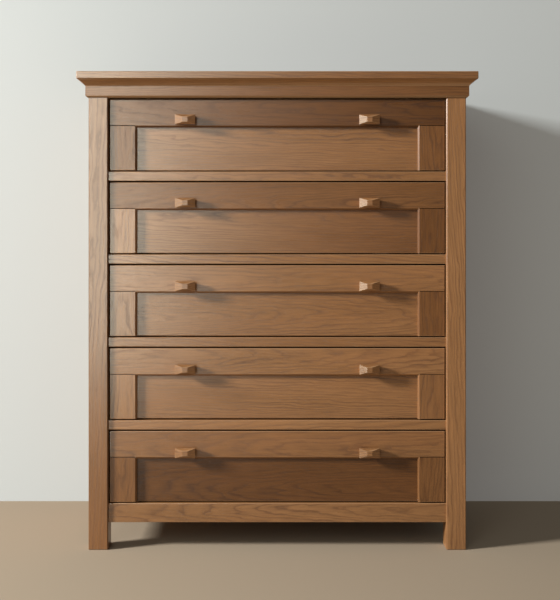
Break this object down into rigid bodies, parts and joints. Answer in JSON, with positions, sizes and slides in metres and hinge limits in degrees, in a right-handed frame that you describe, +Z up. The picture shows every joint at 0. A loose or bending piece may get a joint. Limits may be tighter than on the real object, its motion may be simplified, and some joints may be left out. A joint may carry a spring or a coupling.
{
  "type": "tall chest of drawers",
  "caption": "Tall oak chest of inset drawers between square posts, with recessed drawer fields, faceted wooden knobs, framed sides and a cove-moulded top.",
  "frame": {"origin": "on the floor under the middle of the whole chest, cornice included", "axes": "+Z up, -Y out of the front, +X to the right of someone facing the front"},
  "size_m": [0.952, 0.475, 1.14],
  "materials": {
    "oak_frame": "satin brown-stained oak",
    "oak_panel": "satin brown-stained oak",
    "drawer_box_wood": "bare planed hardwood",
    "screw_steel": "zinc-plated"
  },
  "bodies": {
    "carcass": {"front_left_post": "oak_frame", "front_right_post": "oak_frame", "rear_left_post": "oak_frame", "rear_right_post": "oak_frame", "apron_rail": "oak_frame", "divider_rail_1": "oak_frame", "divider_rail_2": "oak_frame", "divider_rail_3": "oak_frame", "divider_rail_4": "oak_frame", "front_top_rail": "drawer_box_wood", "rear_rails": "drawer_box_wood", "side_rails": "oak_frame", "side_panels": "oak_panel", "back_panel": "drawer_box_wood", "top_board": "oak_frame", "cove_mouldings": "oak_frame", "frieze_strips": "oak_frame", "drawer_runners": "drawer_box_wood", "drawer_stops": "drawer_box_wood", "carcass_screws": "screw_steel"},
    "drawer_1": {"drawer_1_front_rail": "oak_frame", "drawer_1_front_stiles": "oak_frame", "drawer_1_front_board": "oak_panel", "drawer_1_sides": "drawer_box_wood", "drawer_1_back": "drawer_box_wood", "drawer_1_bottom": "drawer_box_wood", "drawer_1_knobs": "oak_frame", "drawer_1_screws": "screw_steel"},
    "drawer_2": {"drawer_2_front_rail": "oak_frame", "drawer_2_front_stiles": "oak_frame", "drawer_2_front_board": "oak_panel", "drawer_2_sides": "drawer_box_wood", "drawer_2_back": "drawer_box_wood", "drawer_2_bottom": "drawer_box_wood", "drawer_2_knobs": "oak_frame", "drawer_2_screws": "screw_steel"},
    "drawer_3": {"drawer_3_front_rail": "oak_frame", "drawer_3_front_stiles": "oak_frame", "drawer_3_front_board": "oak_panel", "drawer_3_sides": "drawer_box_wood", "drawer_3_back": "drawer_box_wood", "drawer_3_bottom": "drawer_box_wood", "drawer_3_knobs": "oak_frame", "drawer_3_screws": "screw_steel"},
    "drawer_4": {"drawer_4_front_rail": "oak_frame", "drawer_4_front_stiles": "oak_frame", "drawer_4_front_board": "oak_panel", "drawer_4_sides": "drawer_box_wood", "drawer_4_back": "drawer_box_wood", "drawer_4_bottom": "drawer_box_wood", "drawer_4_knobs": "oak_frame", "drawer_4_screws": "screw_steel"},
    "drawer_5": {"drawer_5_front_rail": "oak_frame", "drawer_5_front_stiles": "oak_frame", "drawer_5_front_board": "oak_panel", "drawer_5_sides": "drawer_box_wood", "drawer_5_back": "drawer_box_wood", "drawer_5_bottom": "drawer_box_wood", "drawer_5_knobs": "oak_frame", "drawer_5_screws": "screw_steel"}
  },
  "joints": [
    {"name": "drawer_1_slide", "type": "slide", "parent": "carcass", "child": "drawer_1", "axis": [0, -1, 0], "range_m": [0, 0.3]},
    {"name": "drawer_2_slide", "type": "slide", "parent": "carcass", "child": "drawer_2", "axis": [0, -1, 0], "range_m": [0, 0.3]},
    {"name": "drawer_3_slide", "type": "slide", "parent": "carcass", "child": "drawer_3", "axis": [0, -1, 0], "range_m": [0, 0.3]},
    {"name": "drawer_4_slide", "type": "slide", "parent": "carcass", "child": "drawer_4", "axis": [0, -1, 0], "range_m": [0, 0.3]},
    {"name": "drawer_5_slide", "type": "slide", "parent": "carcass", "child": "drawer_5", "axis": [0, -1, 0], "range_m": [0, 0.3]}
  ]
}
